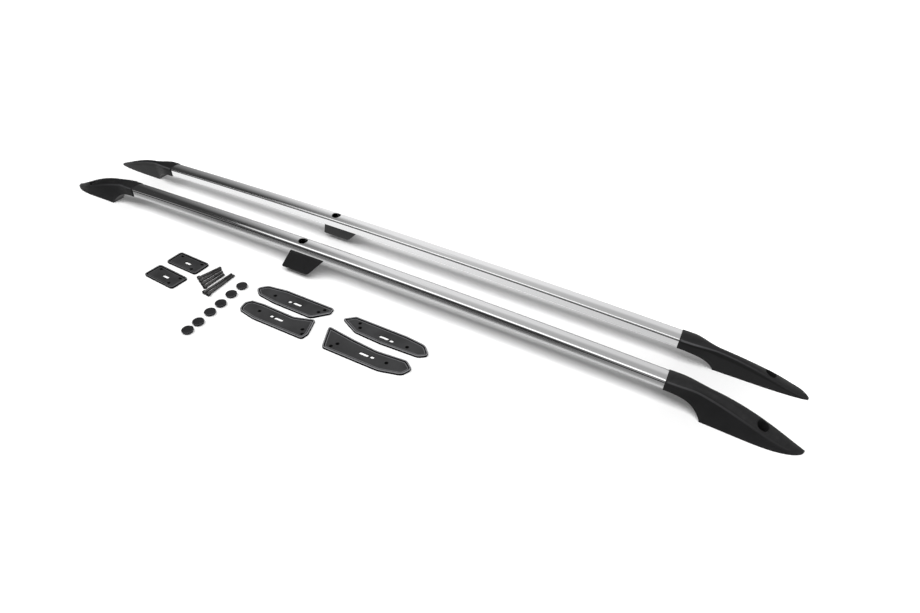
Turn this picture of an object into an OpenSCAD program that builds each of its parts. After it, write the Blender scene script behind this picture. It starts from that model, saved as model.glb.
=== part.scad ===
// Pair of roof side rails with their fitting kit laid out beside them.
// X runs along the rails, +Y goes from the near rail to the far rail, Z = 0 is the floor.
// The far rail is the mirror image of the near one; the outer side of the near rail faces -Y.

/* [Rails] */
// Length of aluminium that shows between the end feet
rail_len = 1400; // [1000:10:1600]
// Width of the rail section
rail_w = 35; // [30:0.5:40]
// Height of the flat sides of the section
rail_side = 20; // [16:0.5:24]
// Rise of the domed top above the side creases
rail_dome = 5; // [3:0.5:7]
// Wall thickness of the extrusion
rail_wall = 2; // [1.5:0.25:3]
// Upward bow of the rail between its visible ends
rail_bow = 11; // [6:1:20]
// Height of the rail's underside above the floor where it enters a foot
rail_z = 39; // [34:0.5:46]
// Distance between the centre lines of the two rails
pair_gap = 131; // [110:1:200]
// Length of rail hidden inside each end foot
rail_insert = 30; // [20:1:34]

/* [End feet] */
// Reach of the right-hand foot from the end of the visible rail to its tip
foot_len_right = 265; // [230:1:300]
// Reach of the left-hand foot
foot_len_left = 236; // [210:1:280]
// Length of the arched neck before the foot meets the floor
neck_len = 80; // [60:1:95]
// How far the collar stands proud of the rail
collar = 1.5; // [1:0.25:2.5]
// Distance of the outer base edge from the rail's centre line behind the neck
foot_out = 29; // [25:1:34]
// Extra outward flare of the right-hand foot at its widest
flare_right = 5; // [2:1:12]
// Extra outward flare of the left-hand foot at its widest
flare_left = 1; // [0:1:8]
// Distance of the inner base edge from the rail's centre line
foot_in = 4; // [4:1:12]
// Distance of the tip from the rail's centre line, towards the outside
tip_out = 5.5; // [4:0.5:12]
// Height of the edge lip at the tip
tip_lip = 2.7; // [2:0.1:5]
// Wall thickness of the moulded shell
foot_wall = 3; // [2:0.25:4]
// Distance from the right-hand tip back to its screw well
well_back_right = 81; // [71:1:89]
// Distance from the left-hand tip back to its screw well
well_back_left = 64; // [58:1:72]
// Diameter of the screw well
well_d = 22.4; // [20:0.1:24]
// Thickness of plastic left under the screw head
well_floor = 9; // [6:0.5:12]

/* [Centre feet] */
// Distance of the centre screw from the middle of the rail, towards the left
centre_x = 155; // [100:5:250]
// Length of the centre foot under the rail
centre_top_len = 96; // [84:1:110]
// Length of the centre foot at its base
centre_base_len = 76; // [66:1:90]
// Width of the centre foot at its base
centre_base_w = 50; // [44:1:56]
// Outward offset of the base from the rail's centre line
centre_offset = 18; // [12:1:22]
// Height of the centre foot's base above the floor
centre_base_z = 14; // [8:1:20]
// Wall thickness of the centre foot
centre_wall = 3; // [2:0.25:4]

/* [Foot pads] */
// Thickness of a pad's plate
pad_t = 3; // [2:0.25:5]
// Height of the raised rim above the plate
pad_rim_h = 2; // [1:0.25:3]
// Width of the raised rim
pad_rim_w = 3; // [2:0.25:4]
// Width of the adjustment slots
slot_w = 7; // [6.6:0.1:8]
// Length of the longer slot in a foot pad
slot_long = 23; // [18:1:28]
// Length of the shorter slot in a foot pad
slot_short = 10; // [8.5:0.5:12]
// Diameter of the small locating holes
peg_hole_d = 5; // [4:0.25:6]

/* [Centre pads] */
// Length of a centre pad
cpad_len = 94; // [80:1:100]
// Width of a centre pad
cpad_w = 46; // [40:1:52]
// Corner radius of a centre pad
cpad_r = 8; // [4:0.5:12]
// Length of the slot in a centre pad
cpad_slot = 20; // [16:1:26]

/* [Caps] */
// Diameter of a cap's flange
cap_d = 25; // [23:0.25:28]
// Thickness of the flange at its edge
cap_t = 1.6; // [1.2:0.1:2.5]
// Rise of the domed cap top
cap_dome = 0.9; // [0.4:0.1:1.5]
// Diameter of the cap's hollow plug
plug_d = 21.8; // [19:0.1:22]
// Length of the plug
plug_h = 5; // [4:0.5:8]
// Diameter of the round hole in the top of each rail
rail_hole_d = 22.2; // [21:0.1:24]

/* [Screws] */
// Thread diameter of the mounting screws
screw_d = 6; // [5:0.5:6.5]
// Head diameter of the mounting screws
head_d = 10; // [9:0.5:11]
// Head height of the mounting screws
head_h = 6; // [5:0.5:7]
// Length of the end foot screws under the head
short_len = 55; // [40:1:60]
// Length of the centre foot screws under the head
long_len = 80; // [65:1:90]
// Across-flats size of the hexagon socket
hex_af = 5; // [4:0.5:5]
// Clearance hole for a mounting screw
screw_hole_d = 6.6; // [6.6:0.1:7.5]

/* [Hidden] */

metal = [0.80, 0.81, 0.82];
black = [0.10, 0.10, 0.11];
dark = [0.16, 0.16, 0.17];
steel = [0.22, 0.22, 0.23];

// Running clearance between pieces that seat on each other
fit = 0.2;
// Radius of the circle that the bowed rail follows, at its underside
bow_r = (rail_len * rail_len / 4 + rail_bow * rail_bow) / (2 * rail_bow);
// Half width of the collar
collar_hw = rail_w / 2 + collar;
// Height of the side crease at the end of the rail
crease_z = rail_z + rail_side;

// Self-tapping screws that hold the rail in its feet and the centre feet to the rail
tap_d = 4;
tap_head_d = 8;
tap_head_h = 2.4;
tap_bite = 4;
tap_hole_d = 4.3;
tap_room = 1;
tap_inset = 14;
tap_seat_z = rail_z - collar - fit;
end_tap_x = [-rail_len / 2 - tap_inset, rail_len / 2 + tap_inset];
centre_tap_x = [-centre_x - 20, -centre_x + 24];

// End foot shell: slope of its outer and inner walls, and how much lower its outer ridge runs
lean_out = 0.38;
lean_in = 0.12;
ridge_drop = 9.4;
// Shares of a foot's length: where it starts to flare, over what span, and where its edges turn to the tip
flare_from = 0.25;
flare_span = 0.47;
outer_turn = 0.72;
inner_turn = 0.6;
// Powers that shape the fall of the ridge to the tip and of the arch to the floor
ridge_fall = [1.32, 1.2];
arch_fall = [2.6, 0.8];
// Ribs inside the shell, and how far the well sits off its middle
rib_t = 2.4;
rib_x = [30, 62];
rib_gap = 4;
well_shift = 6;
joint_overlap = 5;

// Centre foot: shift of its top and base along the rail, plate under the rail, rib above the base
centre_top_shift = 22;
centre_base_shift = -3;
centre_top_rise = 3;
centre_plate = 5;
centre_rib_gap = 3;
centre_corner_r = 5;

// Wall of a cap's plug and width of the slits in it
plug_wall = 1.5;

// Kit layout, measured from the near rail's centre line and the middle of the rails
cap_pos = [[-231, -139], [-231, -173], [-228, -209], [-227, -242], [-225, -278], [-225, -308]];
kit_x = [-185, 233];
kit_y = [-101, -213];
cpad_pos = [[-402, -134, -2], [-406, -197, -4]];
screw_gap = 12;
screws_x = -336;
screws_y = -168;

// Pad outlines: each rounded tip points to -X and the long straight edge lies along y = 0
leaf_left = [
  [-7, -27, 9], [10, -8, 22], [60, 0, 60], [188, 0, 6],
  [191, -17, 6], [160, -50, 16], [58, -49, 60], [12, -43, 20]
];
axe_left = [
  [0, -33, 9], [4, -8, 16], [50, 0, 50], [180, 0, 8], [184, -18, 14],
  [170, -62, 6], [124, -47, 34], [42, -49, 40], [10, -46, 10]
];
leaf_right = [
  [-7, -28, 12], [14, -5, 24], [60, 0, 60], [190, 0, 8],
  [212, -20, 5], [166, -43, 30], [100, -46, 80], [12, -42, 20]
];
axe_right = [
  [-9, -36, 10], [2, -13, 18], [50, 0, 60], [186, 0, 10],
  [211, -60, 6], [140, -51, 60], [80, -46, 80], [12, -52, 14]
];
// Where each foot pad's short slot lies along it, height of its two slots, and the gap between them
slot_at = [88, 80, 84, 80];
slot_y = [-27, -26];
slot_gap = 3;
// Small locating holes of a foot pad, and of a centre pad as shares of its size
peg_at = [[46, -27], [164, -25], [172, -13]];
cpeg_at = [[-0.34, 0.3], [0.34, 0.3], [0.26, -0.28]];

// Directions in which the screws lie, depth of their sockets, and the bevel at their ends
short_turn = [78, 84, 86, 88];
long_turn = [88, 91];
hex_depth = 3.2;
screw_bevel = 1;

// Centring of the whole set on the origin
frame_x = (foot_len_left - foot_len_right) / 2;
kit_front = cap_pos[len(cap_pos) - 1].y - cap_d / 2;
near_y = -(pair_gap + foot_out + flare_right + kit_front) / 2;

function smooth(t) = let (c = min(max(t, 0), 1)) c * c * (3 - 2 * c);
function mix(a, b, k) = a + (b - a) * k;
function circle_top(hw, rise) = (hw * hw + rise * rise) / (2 * rise);

// Points of a shallow arc from (y0, z0) to (y1, z1) that rises above its chord
function crown(y0, z0, y1, z1, rise, n) = [
  for (i = [0 : n])
  let (t = i / n)
  [mix(y0, y1, t), mix(z0, z1, t) + rise * 4 * t * (1 - t)]
];

// Polygon with every corner rounded: points are [x, y, radius]
function rounded(pts, steps = 6) = [
  for (i = [0 : len(pts) - 1])
  let (
    p = pts[i], a = pts[(i + len(pts) - 1) % len(pts)], b = pts[(i + 1) % len(pts)],
    pa = [a.x - p.x, a.y - p.y], pb = [b.x - p.x, b.y - p.y],
    ua = pa / norm(pa), ub = pb / norm(pb),
    half = acos(min(max(ua * ub, -1), 1)) / 2,
    reach = min(p.z / tan(half), norm(pa) * 0.48, norm(pb) * 0.48)
  )
  for (k = [0 : steps])
  let (t = k / steps)
  [
    p.x + ua.x * reach * (1 - t) * (1 - t) + ub.x * reach * t * t,
    p.y + ua.y * reach * (1 - t) * (1 - t) + ub.y * reach * t * t
  ]
];

// Outline moved inwards by d along the mean normal of its neighbours (points run clockwise)
function inset(pts, d) = [
  for (i = [0 : len(pts) - 1])
  let (
    a = pts[(i + len(pts) - 1) % len(pts)], b = pts[(i + 1) % len(pts)],
    t = (b - a) / norm(b - a)
  )
  pts[i] + d * [t.y, -t.x]
];

// Surface skinned over a list of cross-sections with equal point counts
module skin(sections) {
  n = len(sections[0]);
  m = len(sections);
  pts = [for (s = sections) for (p = s) p];
  sides = [
    for (i = [0 : m - 2])
    for (j = [0 : n - 1])
    let (a = i * n + j, b = i * n + (j + 1) % n)
    for (f = [[a, b, b + n], [a, b + n, a + n]]) f
  ];
  first = [for (j = [n - 1 : -1 : 0]) j];
  last = [for (j = [0 : n - 1]) (m - 1) * n + j];
  polyhedron(pts, concat(sides, [first, last]), convexity = 6);
}

// Outline of the rail seen along its length: flat sides under a shallow dome, grown by g
module rail_section(g) {
  hw = rail_w / 2 + g;
  r = circle_top(hw, rail_dome);
  top = rail_side + rail_dome + g;
  intersection() {
    translate([-hw, -g]) square([2 * hw, top + g]);
    translate([0, top - r]) circle(r = r, $fn = 180);
  }
}

// Sweeps a section along the bow, from -half_len to +half_len, as two mirrored arcs
module bowed(half_len) {
  for (side = [0, 1])
  mirror([side, 0, 0])
  translate([0, 0, rail_z + rail_bow - bow_r])
  rotate([90, 0, 0])
  rotate(90)
  rotate_extrude(angle = asin(half_len / bow_r), $fn = 2880)
  translate([bow_r, 0])
  rotate(-90)
  children();
}

function bow_z(x) = rail_z + rail_bow - bow_r + sqrt(bow_r * bow_r - x * x);

// Short straight stretch of the section, laid along the bowed rail from x0 to x1
module rail_stretch(g, x0, x1) {
  xm = (x0 + x1) / 2;
  translate([xm, 0, bow_z(xm)])
  rotate([0, asin(xm / bow_r), 0])
  rotate([90, 0, 90])
  linear_extrude(x1 - x0, center = true)
  rail_section(g);
}

module rail() {
  half_len = rail_len / 2 + rail_insert;
  difference() {
    bowed(half_len)
    difference() {
      rail_section(0);
      rail_section(-rail_wall);
    }
    translate([-centre_x, 0, bow_z(centre_x) + rail_side / 2])
    cylinder(d = rail_hole_d, h = rail_side + rail_dome, $fn = 64);
    translate([-centre_x, 0, bow_z(centre_x) - 1])
    cylinder(d = screw_hole_d, h = rail_side / 2, $fn = 48);
    for (x = concat(end_tap_x, centre_tap_x))
    translate([x, 0, bow_z(x) - 1])
    cylinder(d = tap_hole_d, h = rail_side / 2, $fn = 32);
  }
}

// Base outline and ridges of an end foot at the share s of its length, before it is placed
function foot_outer(s, flare) =
  let (
    y = -(foot_out + flare * smooth((s - flare_from) / flare_span)),
    e = max(s - outer_turn, 0) / (1 - outer_turn)
  )
  mix(-tip_out, y, sqrt(max(1 - e * e, 0)));
function foot_inner(s) =
  let (e = max(s - inner_turn, 0) / (1 - inner_turn))
  mix(-tip_out, foot_in, sqrt(max(1 - e * e, 0)));
function ridge_z(s) =
  tip_lip + (crease_z + collar / 2 - tip_lip) * pow(max(cos(90 * pow(s, ridge_fall[0])), 0), ridge_fall[1]);
function crown_rise(s) = (rail_dome + collar / 2) * (1 - 0.75 * pow(s, 3));
function neck_under(x) =
  let (t = min(x / neck_len, 1))
  (rail_z - collar) * pow(max(1 - pow(t, arch_fall[0]), 0), arch_fall[1]);

// Cross-section of the foot at distance x from the end of the visible rail, inset by w
function foot_section(x, reach, flare, w, floor_z) =
  let (
    s = x / reach,
    k = smooth((s - 0.08) / 0.24),
    tip = smooth((1 - s) / 0.15),
    zb = floor_z < 0 ? floor_z : neck_under(x),
    zi = ridge_z(s) - w,
    zo = zi - ridge_drop * tip * k * sin(180 * s),
    yo = foot_outer(s, flare) + w,
    yi = foot_inner(s) - w,
    bo = mix(-collar_hw + w, yo + lean_out * max(zb, 0), k),
    ro = mix(-collar_hw + w, yo + lean_out * zo * tip, k),
    ri = mix(collar_hw - w, yi + lean_in * zi * tip, k),
    bi = mix(collar_hw - w, yi + lean_in * max(zb, 0), k)
  )
  [for (p = concat([[bo, zb]], crown(ro, zo, ri, zi, crown_rise(s), 8), [[bi, zb]])) [x, p.x, p.y]];

// Solid outer form of an end foot, and the hollow inside its shell
module foot_form(reach, flare) {
  neck = [for (a = [0 : 10]) neck_len * sin(9 * a)];
  blade = [for (i = [1 : 16]) neck_len + (reach - neck_len) * sin(i * 90 / 16.6)];
  skin([for (x = concat(neck, blade)) foot_section(x, reach, flare, 0, 0)]);
}

module foot_hollow(reach, flare) {
  x0 = neck_len + foot_wall;
  x1 = reach * 0.9;
  skin([for (i = [0 : 10]) foot_section(mix(x0, x1, i / 10), reach, flare, foot_wall, -1)]);
}

// End foot with its joint at x = 0 and its tip at x = reach
module end_foot(reach, flare, well_back) {
  well_x = reach - well_back;
  well_y = (foot_in - foot_out - flare) / 2 + well_shift;
  difference() {
    foot_form(reach, flare);
    difference() {
      foot_hollow(reach, flare);
      translate([well_x, well_y, -2]) cylinder(d = well_d + 2 * foot_wall, h = 80, $fn = 64);
      for (x = rib_x)
      translate([neck_len + x, -rail_len / 4, -2]) cube([rib_t, rail_len / 2, rail_len / 4]);
      translate([neck_len, well_y - rib_t / 2, rib_gap]) cube([well_x - neck_len, rib_t, rail_len / 4]);
    }
    translate([well_x, well_y, well_floor]) cylinder(d = well_d, h = 80, $fn = 64);
    translate([well_x, well_y, -1]) cylinder(d = screw_hole_d, h = well_floor + 2, $fn = 48);
    translate([-rail_len / 2, 0, 0])
    rail_stretch(fit, rail_len / 2 - joint_overlap, rail_len / 2 + rail_insert + fit);
    translate([tap_inset, 0, 0]) cylinder(d = tap_hole_d, h = crease_z, $fn = 32);
    translate([tap_inset, 0, 0]) cylinder(d = tap_head_d + tap_room, h = tap_seat_z, $fn = 48);
  }
}

module right_foot() {
  translate([rail_len / 2, 0, 0]) end_foot(foot_len_right, flare_right, well_back_right);
}

module left_foot() {
  translate([-rail_len / 2, 0, 0]) mirror([1, 0, 0])
  end_foot(foot_len_left, flare_left, well_back_left);
}

// Block that flares from under the rail to the wider, offset base
module centre_form(w, z0) {
  hull() {
    translate([-centre_x + centre_top_shift, 0, bow_z(centre_x) + centre_top_rise])
    cube([centre_top_len - 2 * w, rail_w - 2 * w - 2, 1], center = true);
    translate([-centre_x + centre_base_shift, -centre_offset, z0])
    linear_extrude(1)
    polygon(rounded([for (p = [[-1, -1], [-1, 1], [1, 1], [1, -1]])
      [p.x * (centre_base_len / 2 - w), p.y * (centre_base_w / 2 - w), centre_corner_r]], 4));
  }
}

module centre_foot() {
  plate_z = bow_z(centre_x) - centre_plate;
  difference() {
    centre_form(0, centre_base_z);
    difference() {
      centre_form(centre_wall, centre_base_z - 1);
      translate([-centre_x, 0, plate_z + centre_top_len])
      cube([3, 3, 2] * centre_top_len, center = true);
      translate([-centre_x, 0, 0]) cylinder(d = screw_hole_d + 2 * centre_wall, h = plate_z + 1, $fn = 48);
      for (x = centre_tap_x)
      translate([x, 0, 0]) cylinder(d = tap_head_d + 2 * centre_wall, h = plate_z + 1, $fn = 48);
      translate([-centre_x - centre_top_len, -centre_wall / 2, centre_base_z + centre_rib_gap])
      cube([2 * centre_top_len, centre_wall, plate_z]);
    }
    rail_stretch(fit, -centre_x - centre_top_len, -centre_x + 2 * centre_top_len);
    translate([-centre_x, 0, 0]) cylinder(d = screw_hole_d, h = 2 * rail_z, $fn = 48);
    for (x = centre_tap_x) {
      translate([x, 0, 0]) cylinder(d = tap_hole_d, h = 2 * rail_z, $fn = 32);
      translate([x, 0, 0]) cylinder(d = tap_head_d + tap_room, h = plate_z - 1, $fn = 48);
    }
  }
}

// Pan-head self-tapping screw, head down, with the underside of its head at z = 0
module tap_screw(grip) {
  translate([0, 0, -tap_head_h]) cylinder(d1 = tap_head_d - 1.4, d2 = tap_head_d, h = tap_head_h, $fn = 48);
  cylinder(d = tap_d, h = grip + rail_wall + tap_bite, $fn = 32);
}

module place_near() {
  translate([frame_x, near_y, 0]) children();
}

module place_far() {
  translate([frame_x, near_y + pair_gap, 0]) mirror([0, 1, 0]) children();
}

module near_rail() {
  color(metal) place_near() rail();
}

module far_rail() {
  color(metal) place_far() rail();
}

module near_left_foot() {
  color(black) place_near() left_foot();
}

module near_right_foot() {
  color(black) place_near() right_foot();
}

module far_left_foot() {
  color(black) place_far() left_foot();
}

module far_right_foot() {
  color(black) place_far() right_foot();
}

module near_centre_foot() {
  color(black) place_near() centre_foot();
}

module far_centre_foot() {
  color(black) place_far() centre_foot();
}

module end_tap_pair() {
  for (x = end_tap_x)
  translate([x, 0, tap_seat_z - fit]) tap_screw(rail_z - tap_seat_z + fit);
}

module centre_tap_pair() {
  for (x = centre_tap_x)
  translate([x, 0, bow_z(centre_x) - centre_plate - 1 - fit]) tap_screw(centre_plate + 1 + fit);
}

module rail_end_screws() {
  color(steel) {
    place_near() end_tap_pair();
    place_far() end_tap_pair();
  }
}

module centre_foot_screws() {
  color(steel) {
    place_near() centre_tap_pair();
    place_far() centre_tap_pair();
  }
}

// Flat plate with a raised rim that follows its outline
module rimmed_plate(outline) {
  difference() {
    linear_extrude(pad_t + pad_rim_h) polygon(outline);
    translate([0, 0, pad_t]) linear_extrude(pad_rim_h + 1) polygon(inset(outline, pad_rim_w));
  }
}

// Through slot with round ends along X
module slot(length, width) {
  for (x = [-1, 1] * (length - width) / 2)
  translate([x, 0, -1]) cylinder(d = width, h = pad_t + 2, $fn = 48);
  translate([-(length - width) / 2, -width / 2, -1]) cube([length - width, width, pad_t + 2]);
}

module centre_pad(i) {
  box = [for (p = [[-1, -1], [-1, 1], [1, 1], [1, -1]]) [p.x * cpad_len / 2, p.y * cpad_w / 2, cpad_r]];
  translate([frame_x + cpad_pos[i].x, near_y + cpad_pos[i].y, 0])
  rotate(cpad_pos[i].z)
  difference() {
    rimmed_plate(rounded(box));
    slot(cpad_slot, slot_w);
    for (p = cpeg_at)
    translate([p.x * cpad_len, p.y * cpad_w, -1]) cylinder(d = peg_hole_d, h = pad_t + 2, $fn = 32);
  }
}

// Plate for an end foot: outline, slots and holes, drawn tip first
module foot_pad(outline, first) {
  difference() {
    rimmed_plate(rounded(outline));
    translate([first, slot_y[0], 0]) slot(slot_short, slot_w);
    translate([first + (slot_short + slot_long) / 2 + slot_gap, slot_y[1], 0]) slot(slot_long, slot_w);
    for (p = peg_at)
    translate([p.x, p.y, -1]) cylinder(d = peg_hole_d, h = pad_t + 2, $fn = 32);
  }
}

// Kit pads: tips of the left pair point left, tips of the right pair point right
module kit_at(x, y) {
  translate([frame_x + x, near_y + y, 0]) children();
}

module foot_pad_left_a() {
  color(dark) kit_at(kit_x[0] - 5, kit_y[0]) foot_pad(leaf_left, slot_at[0]);
}

module foot_pad_left_b() {
  color(dark) kit_at(kit_x[0], kit_y[1]) mirror([0, 1, 0]) foot_pad(axe_left, slot_at[1]);
}

module foot_pad_right_a() {
  color(dark) kit_at(kit_x[1] + 13, kit_y[0] + 2) mirror([1, 0, 0]) foot_pad(leaf_right, slot_at[2]);
}

module foot_pad_right_b() {
  color(dark) kit_at(kit_x[1], kit_y[1]) mirror([1, 0, 0]) mirror([0, 1, 0]) foot_pad(axe_right, slot_at[3]);
}

module centre_pad_a() {
  color(dark) centre_pad(0);
}

module centre_pad_b() {
  color(dark) centre_pad(1);
}

// Domed flange on a hollow plug, standing on the plug
module cap(i) {
  r = circle_top(cap_d / 2, cap_dome);
  kit_at(cap_pos[i].x, cap_pos[i].y)
  difference() {
    union() {
      translate([0, 0, plug_h])
      rotate_extrude($fn = 96)
      intersection() {
        square([cap_d / 2, cap_t + cap_dome]);
        translate([0, cap_t + cap_dome - r]) circle(r = r, $fn = 180);
      }
      cylinder(d = plug_d, h = plug_h, $fn = 96);
    }
    translate([0, 0, -1]) cylinder(d = plug_d - 2 * plug_wall, h = plug_h, $fn = 96);
    for (a = [45 : 90 : 315])
    rotate(a) translate([0, -plug_wall / 2, -1]) cube([cap_d, plug_wall, plug_h]);
  }
}

module cap_1() {
  color(black) cap(0);
}

module cap_2() {
  color(black) cap(1);
}

module cap_3() {
  color(black) cap(2);
}

module cap_4() {
  color(black) cap(3);
}

module cap_5() {
  color(black) cap(4);
}

module cap_6() {
  color(black) cap(5);
}

// Socket-head screw lying on the rim of its head and the end of its thread, head at the origin
module lying_screw(length, turn) {
  drop = asin((head_d - screw_d) / 2 / (length + head_h));
  rotate(turn - 90)
  translate([0, 0, head_d / 2 * cos(drop)])
  rotate([-90 - drop, 0, 0])
  difference() {
    union() {
      cylinder(d = head_d, h = head_h, $fn = 64);
      translate([0, 0, head_h]) cylinder(d = screw_d, h = length - screw_bevel, $fn = 64);
      translate([0, 0, head_h + length - screw_bevel])
      cylinder(d1 = screw_d, d2 = screw_d - 2 * screw_bevel, h = screw_bevel, $fn = 64);
    }
    translate([0, 0, -0.1]) cylinder(d = hex_af / cos(30), h = hex_depth, $fn = 6);
  }
}

module short_screws() {
  color(steel)
  for (i = [0 : 3])
  kit_at(screws_x + screw_gap * i, screws_y - 6 * i) lying_screw(short_len, short_turn[i]);
}

module long_screws() {
  color(steel)
  for (i = [0 : 1])
  kit_at(screws_x + screw_gap * (4 + i) + 2, screws_y - 33 - i) lying_screw(long_len, long_turn[i]);
}

near_rail();
far_rail();
near_left_foot();
near_right_foot();
far_left_foot();
far_right_foot();
near_centre_foot();
far_centre_foot();
rail_end_screws();
centre_foot_screws();
centre_pad_a();
centre_pad_b();
foot_pad_left_a();
foot_pad_left_b();
foot_pad_right_a();
foot_pad_right_b();
cap_1();
cap_2();
cap_3();
cap_4();
cap_5();
cap_6();
short_screws();
long_screws();
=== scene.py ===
"""Looks of a pair of roof side rails: bowed aluminium bars on black moulded feet, with their kit beside them."""

import math

import bmesh
import bpy
import numpy as np
from mathutils import Matrix, Vector
from mathutils.geometry import tessellate_polygon


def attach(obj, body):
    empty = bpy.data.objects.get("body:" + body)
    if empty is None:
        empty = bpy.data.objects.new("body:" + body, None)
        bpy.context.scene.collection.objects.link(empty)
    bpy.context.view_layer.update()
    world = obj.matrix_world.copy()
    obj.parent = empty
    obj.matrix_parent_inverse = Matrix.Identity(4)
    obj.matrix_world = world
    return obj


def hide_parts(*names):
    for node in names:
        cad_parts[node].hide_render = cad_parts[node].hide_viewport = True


bl_info = {
    "name": "Roof side rails",
    "version": (1, 0, 0),
    "blender": (4, 5, 0),
    "location": "3D View > Sidebar > Side rails",
    "description": "Bowed aluminium roof side rails on moulded feet, with pads, caps and screws",
    "category": "Object",
}

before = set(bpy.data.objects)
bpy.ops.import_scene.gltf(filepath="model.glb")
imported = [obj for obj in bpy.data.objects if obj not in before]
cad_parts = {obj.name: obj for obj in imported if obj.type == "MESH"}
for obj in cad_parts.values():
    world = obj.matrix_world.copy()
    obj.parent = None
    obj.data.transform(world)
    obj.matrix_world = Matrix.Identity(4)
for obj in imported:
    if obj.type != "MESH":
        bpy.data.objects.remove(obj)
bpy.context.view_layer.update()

MM = 0.001
RAIL_LEN = 1400 * MM
RAIL_W = 35 * MM
RAIL_SIDE = 20 * MM
RAIL_DOME = 5 * MM
RAIL_WALL = 2 * MM
RAIL_BOW = 11 * MM
RAIL_Z = 39 * MM
RAIL_INSERT = 30 * MM
GROOVE_IN = (1.25 * MM, 4.3 * MM)
GROOVE_OUT = (3.0 * MM, 5.4 * MM)
GROOVE_DEPTH = 0.8 * MM
PAIR_GAP = 131 * MM
BOW_R = (RAIL_LEN**2 / 4 + RAIL_BOW**2) / (2 * RAIL_BOW)
HOLE_X = -155 * MM
HOLE_R = 11.1 * MM
# Half the side of the patch of skin round a rail's hole, and the patch's cells along and across the skin
HOLE_PATCH = 13.5 * MM
HOLE_CELLS = ((60, 72), (3, 15))
FRAME_X = -14.5 * MM
NEAR_Y = 77.75 * MM

NECK_LEN = 80 * MM
COLLAR = 1.5 * MM
FOOT_OUT = 29 * MM
FOOT_IN = 4 * MM
TIP_OUT = 5.5 * MM
TIP_LIP = 2.7 * MM
FOOT_WALL = 3 * MM
LEAN_OUT = 0.38
LEAN_IN = 0.12
RIDGE_DROP = 9.4 * MM
WELL_R = 11.2 * MM
WELL_FLOOR = 9 * MM
WELL_SHIFT = 6 * MM
# Shares of the reach where the outer and inner edges start to close in, and where and over how much the flare grows
CLOSE_OUT, CLOSE_IN = 0.72, 0.6
FLARE_FROM, FLARE_OVER = 0.25, 0.47
# Shares of the reach where and over how much the neck turns into the blade, and over how much forms fade at the tip
BLEND_FROM, BLEND_OVER, TIP_FADE = 0.08, 0.24, 0.15
# Powers that shape the ridge's fall and the arch under the neck
FALL_POWERS = (1.32, 1.2)
ARCH_POWERS = (2.6, 0.8)
# Points round a section: by the outer ridge, the inner ridge and the line under it, and how many each side of the crown
OUTER_RIDGE, INNER_RIDGE, UNDER_RIDGE, WALL_POINTS = slice(13, 17), slice(36, 40), slice(41, 43), 18
SCREW_HOLE_R = 3.3 * MM
FEET = {
    "right": {"reach": 265 * MM, "flare": 5 * MM, "well_back": 81 * MM},
    "left": {"reach": 236 * MM, "flare": 1 * MM, "well_back": 64 * MM},
}

CENTRE_BASE_Z = 14 * MM
CENTRE_TOP = (96 * MM, 33 * MM, 22 * MM)
CENTRE_BASE = (76 * MM, 50 * MM, -3 * MM)
CENTRE_OFFSET = 18 * MM
CENTRE_WALL = 3 * MM
BOX_CORNERS = ((-1, -1), (-1, 1), (1, 1), (1, -1))

PAD_T = 3 * MM
SLOT_W = 7 * MM
PEG_HOLE_R = 2.5 * MM
PAD_OUTLINES = {
    "foot_pad_left_a": [
        (-7, -27, 9), (10, -8, 22), (60, 0, 60), (188, 0, 6),
        (191, -17, 6), (160, -50, 16), (58, -49, 60), (12, -43, 20),
    ],
    "foot_pad_left_b": [
        (0, -33, 9), (4, -8, 16), (50, 0, 50), (180, 0, 8), (184, -18, 14),
        (170, -62, 6), (124, -47, 34), (42, -49, 40), (10, -46, 10),
    ],
    "foot_pad_right_a": [
        (-7, -28, 12), (14, -5, 24), (60, 0, 60), (190, 0, 8),
        (212, -20, 5), (166, -43, 30), (100, -46, 80), (12, -42, 20),
    ],
    "foot_pad_right_b": [
        (-9, -36, 10), (2, -13, 18), (50, 0, 60), (186, 0, 10),
        (211, -60, 6), (140, -51, 60), (80, -46, 80), (12, -52, 14),
    ],
}
# Tip of each foot pad from the near rail's middle, its direction along X and Y, and its first slot
PAD_PLACES = {
    "foot_pad_left_a": (-190, -101, 1, 1, 88),
    "foot_pad_left_b": (-185, -213, 1, -1, 80),
    "foot_pad_right_a": (246, -99, -1, 1, 84),
    "foot_pad_right_b": (233, -213, -1, -1, 80),
}
# Middle of each centre pad from the near rail's middle and its turn in degrees
CENTRE_PADS = {"centre_pad_a": (-402, -134, -2), "centre_pad_b": (-406, -197, -4)}
# Length, width, corner radius and slot length
CENTRE_PAD_SIZE = (94, 46, 8, 20)
# Locating holes, in mm from a foot pad's tip and as shares of a centre pad's length and width
FOOT_PAD_PEGS = ((46, -27), (164, -25), (172, -13))
CENTRE_PAD_PEGS = ((-0.34, 0.3), (0.34, 0.3), (0.26, -0.28))
# Rim of a pad as steps of distance in from its outline, height in mm and mark: positive for painted highlights on the
# rim's top and inner lip, -1 for painted shade on its outer flank and in the groove
PAD_RIM = (
    (0.5, 0, -1), (0.12, 0.15, -1), (0, 0.6, -1), (0, 4.0, -1), (0.3, 4.7, 0.4), (0.7, 5, 1), (2.8, 5, 1),
    (3.1, 4.6, 0.4), (3.2, 4.0, -1), (3.3, 2.7, -1), (5.3, 2.7, -1), (5.4, 3.3, 0.6), (7.0, 3.3, 0.6), (7.2, 3, 0),
)

CAP_PLACES = [(-231, -139), (-231, -173), (-228, -209), (-227, -242), (-225, -278), (-225, -308)]
CAP_R = 12.5 * MM
PLUG_H = 5 * MM
CAP_DOME = 0.9 * MM
# Rim and plug of a cap as (radius, height) in mm, from the dome's edge down and round to the plug's inside
CAP_RIM = (
    (12.15, 6.45), (12.42, 6.1), (12.5, 5.7), (12.42, 5.2), (12.0, 5),
    (10.9, 5), (10.9, 0.5), (10.5, 0), (9.4, 0), (9.4, 4), (0, 4),
)

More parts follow.
